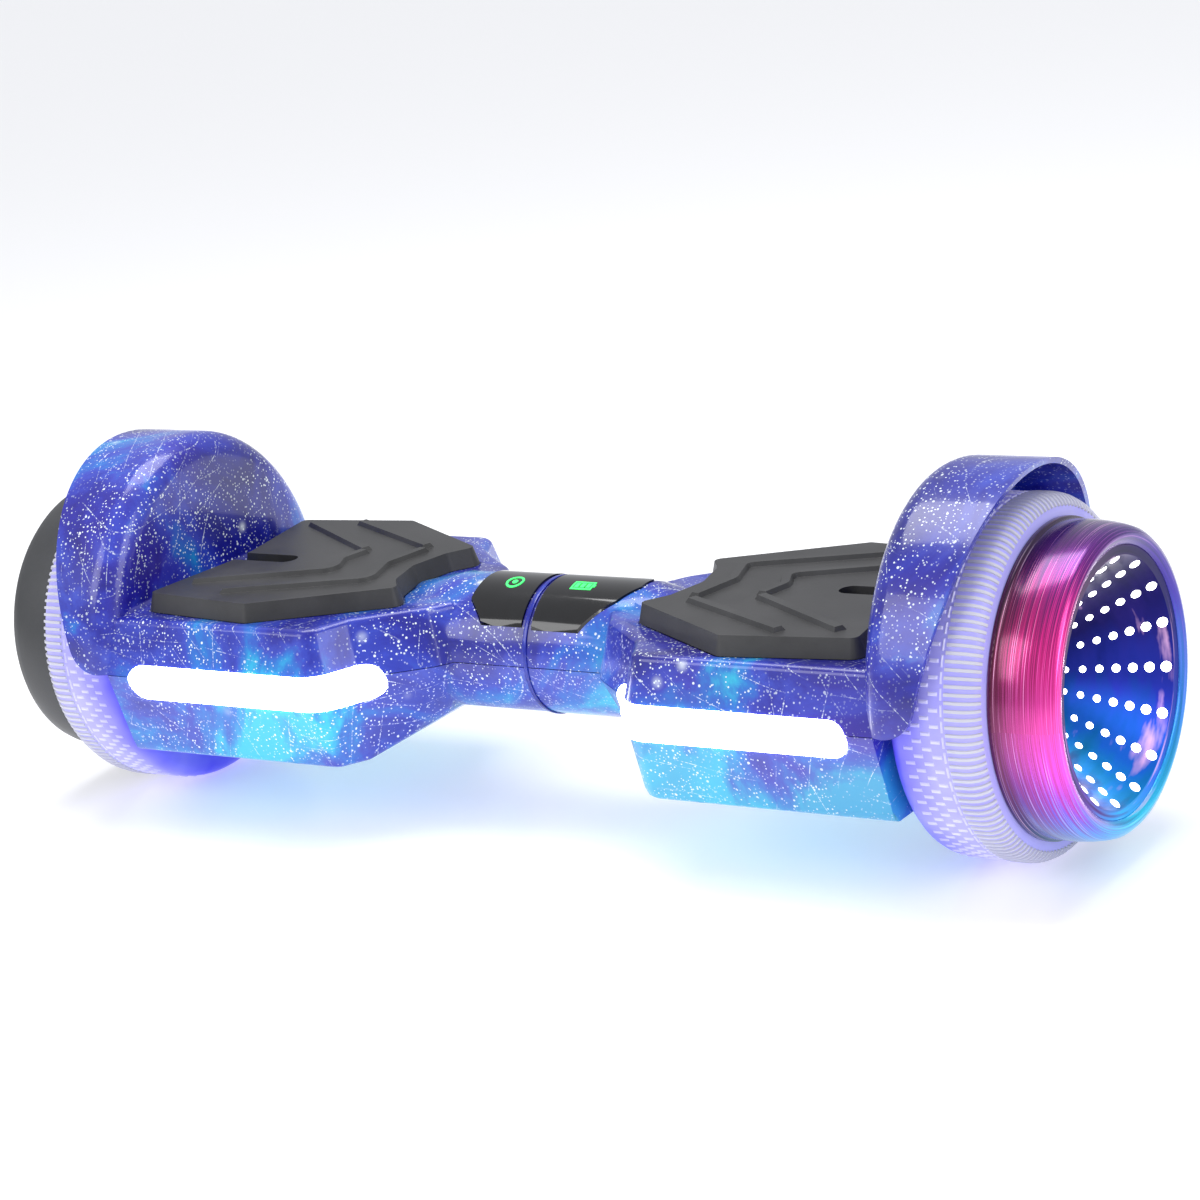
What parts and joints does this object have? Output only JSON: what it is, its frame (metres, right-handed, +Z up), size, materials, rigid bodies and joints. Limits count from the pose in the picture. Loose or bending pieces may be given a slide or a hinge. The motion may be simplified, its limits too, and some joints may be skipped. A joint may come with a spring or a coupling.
{
  "type": "self balancing hoverboard",
  "caption": "Two-wheeled self balancing board with twisting halves, foot mats, glowing hub caps and a gloss space-pattern shell.",
  "frame": {"origin": "centre of the footprint on the floor, midway between the wheels, under the pivot axis", "axes": "+X along the wheel axle to the right half, +Y to the back with the charge port, +Z up"},
  "size_m": [0.603, 0.181, 0.184],
  "materials": {
    "shell_gloss": "gloss",
    "panel_black": "gloss",
    "light_lens": "satin",
    "mat_rubber": "satin",
    "tyre_rubber": "satin",
    "cap_gloss": "gloss",
    "dish_gloss": "gloss",
    "rim_alloy": "satin",
    "frame_alloy": "matte",
    "shaft_steel": "satin",
    "screw_steel": "satin",
    "magnet_steel": "satin",
    "stator_steel": "satin",
    "bush_bronze": "satin",
    "circuit_board": "matte",
    "power_board": "matte",
    "battery_case": "satin",
    "cable_sheath": "matte",
    "speaker_magnet": "satin",
    "port_black": "satin"
  },
  "bodies": {
    "left_half": {"left_top_shell": "shell_gloss", "left_bottom_shell": "shell_gloss", "left_chassis": "frame_alloy", "left_display_panel": "panel_black", "left_display_board": "circuit_board", "left_light_lens": "light_lens", "left_light_board": "circuit_board", "left_gyro_board": "circuit_board", "left_axle": "shaft_steel", "left_stator": "stator_steel", "left_axle_clamp": "frame_alloy", "left_clamp_screws": "screw_steel", "left_shell_screws": "screw_steel", "left_motor_lead": "cable_sheath", "battery_pack": "battery_case", "pivot_tube": "shaft_steel", "pivot_retaining_ring": "screw_steel"},
    "right_half": {"right_top_shell": "shell_gloss", "right_bottom_shell": "shell_gloss", "right_chassis": "frame_alloy", "right_display_panel": "panel_black", "right_display_board": "circuit_board", "right_light_lens": "light_lens", "right_light_board": "circuit_board", "right_gyro_board": "circuit_board", "right_axle": "shaft_steel", "right_stator": "stator_steel", "right_axle_clamp": "frame_alloy", "right_clamp_screws": "screw_steel", "right_shell_screws": "screw_steel", "right_motor_lead": "cable_sheath", "pivot_bushes": "bush_bronze", "main_board": "power_board", "speaker": "speaker_magnet", "charge_port": "port_black", "link_cable": "cable_sheath"},
    "left_wheel": {"left_tyre": "tyre_rubber", "left_rim": "rim_alloy", "left_magnets": "magnet_steel", "left_inner_motor_cover": "rim_alloy", "left_outer_motor_cover": "rim_alloy", "left_wheel_bearings": "shaft_steel", "left_cover_screws": "screw_steel", "left_hub_cap": "cap_gloss", "left_lamp_dish": "dish_gloss", "left_lamp_board": "circuit_board"},
    "right_wheel": {"right_tyre": "tyre_rubber", "right_rim": "rim_alloy", "right_magnets": "magnet_steel", "right_inner_motor_cover": "rim_alloy", "right_outer_motor_cover": "rim_alloy", "right_wheel_bearings": "shaft_steel", "right_cover_screws": "screw_steel", "right_hub_cap": "cap_gloss", "right_lamp_dish": "dish_gloss", "right_lamp_board": "circuit_board"},
    "left_mat": {"left_foot_mat": "mat_rubber"},
    "right_mat": {"right_foot_mat": "mat_rubber"},
    "power_button": {"power_button": "port_black"}
  },
  "joints": [
    {"name": "body_twist", "type": "hinge", "parent": "left_half", "child": "right_half", "pos_m": [0, 0, 0.084], "axis": [1, 0, 0], "range_deg": [-15, 15]},
    {"name": "left_wheel_spin", "type": "hinge", "parent": "left_half", "child": "left_wheel", "pos_m": [-0.2465, 0, 0.084], "axis": [1, 0, 0], "continuous": true},
    {"name": "right_wheel_spin", "type": "hinge", "parent": "right_half", "child": "right_wheel", "pos_m": [0.2465, 0, 0.084], "axis": [1, 0, 0], "continuous": true},
    {"name": "left_mat_press", "type": "slide", "parent": "left_half", "child": "left_mat", "axis": [0, 0, -1], "range_m": [0, 0.0013], "stiffness_N_per_m": 9000},
    {"name": "right_mat_press", "type": "slide", "parent": "right_half", "child": "right_mat", "axis": [0, 0, -1], "range_m": [0, 0.0013], "stiffness_N_per_m": 9000},
    {"name": "power_button_press", "type": "slide", "parent": "right_half", "child": "power_button", "axis": [0, -1, 0], "range_m": [0, 0.0012], "stiffness_N_per_m": 600}
  ]
}
